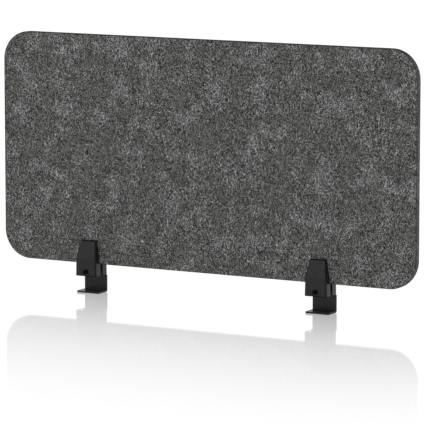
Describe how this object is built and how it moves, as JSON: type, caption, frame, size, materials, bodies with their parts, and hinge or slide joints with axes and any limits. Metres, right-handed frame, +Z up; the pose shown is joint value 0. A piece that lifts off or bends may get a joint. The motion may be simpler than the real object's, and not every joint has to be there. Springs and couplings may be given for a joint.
{
  "type": "desk privacy panel",
  "caption": "Rounded felt board held upright by steel clamps that pinch its lower edge and hook over the edge of a desk top.",
  "frame": {"origin": "under the middle of the panel, in its mid-plane, level with the undersides of the feet", "axes": "+X along the panel, to the right seen from the front; +Y from the panel's front to its back; +Z up"},
  "size_m": [0.8, 0.047, 0.4515],
  "materials": {
    "felt": "pressed polyester felt, grey melange with pale fibres",
    "powder_coat": "satin black powder coat",
    "black_oxide": "black oxide steel",
    "rubber": "matte black rubber"
  },
  "bodies": {
    "panel": {"felt_panel": "felt"},
    "left_clamp": {"left_rear_jaw": "powder_coat", "left_press_in_nut": "black_oxide", "left_rear_grip_pad": "rubber"},
    "left_front_jaw": {"left_front_jaw": "powder_coat", "left_front_grip_pad": "rubber", "left_spacer_sleeve": "black_oxide"},
    "left_screw": {"left_clamp_screw": "black_oxide"},
    "left_bracket": {"left_desk_bracket": "powder_coat"},
    "right_clamp": {"right_rear_jaw": "powder_coat", "right_press_in_nut": "black_oxide", "right_rear_grip_pad": "rubber"},
    "right_front_jaw": {"right_front_jaw": "powder_coat", "right_front_grip_pad": "rubber", "right_spacer_sleeve": "black_oxide"},
    "right_screw": {"right_clamp_screw": "black_oxide"},
    "right_bracket": {"right_desk_bracket": "powder_coat"}
  },
  "joints": [
    {"name": "left_clamp_along_panel", "type": "slide", "parent": "panel", "child": "left_clamp", "axis": [1, 0, 0], "range_m": [-0.096, 0.173]},
    {"name": "left_bracket_height", "type": "slide", "parent": "left_clamp", "child": "left_bracket", "axis": [0, 0, 1], "range_m": [-0.015, 0]},
    {"name": "left_front_jaw_opening", "type": "slide", "parent": "left_clamp", "child": "left_front_jaw", "axis": [0, -1, 0], "range_m": [0, 0.004]},
    {"name": "left_screw_turn", "type": "hinge", "parent": "left_front_jaw", "child": "left_screw", "pos_m": [-0.2275, 0, 0.038], "axis": [0, -1, 0], "range_deg": [0, 1800]},
    {"name": "right_clamp_along_panel", "type": "slide", "parent": "panel", "child": "right_clamp", "axis": [1, 0, 0], "range_m": [-0.166, 0.103]},
    {"name": "right_bracket_height", "type": "slide", "parent": "right_clamp", "child": "right_bracket", "axis": [0, 0, 1], "range_m": [-0.015, 0]},
    {"name": "right_front_jaw_opening", "type": "slide", "parent": "right_clamp", "child": "right_front_jaw", "axis": [0, -1, 0], "range_m": [0, 0.004]},
    {"name": "right_screw_turn", "type": "hinge", "parent": "right_front_jaw", "child": "right_screw", "pos_m": [0.2205, 0, 0.038], "axis": [0, -1, 0], "range_deg": [0, 1800]}
  ],
  "couplings": [
    {"joint": "left_screw_turn", "follows": "left_front_jaw_opening", "rad_per_m": 7853.2},
    {"joint": "right_screw_turn", "follows": "right_front_jaw_opening", "rad_per_m": 7853.2}
  ]
}
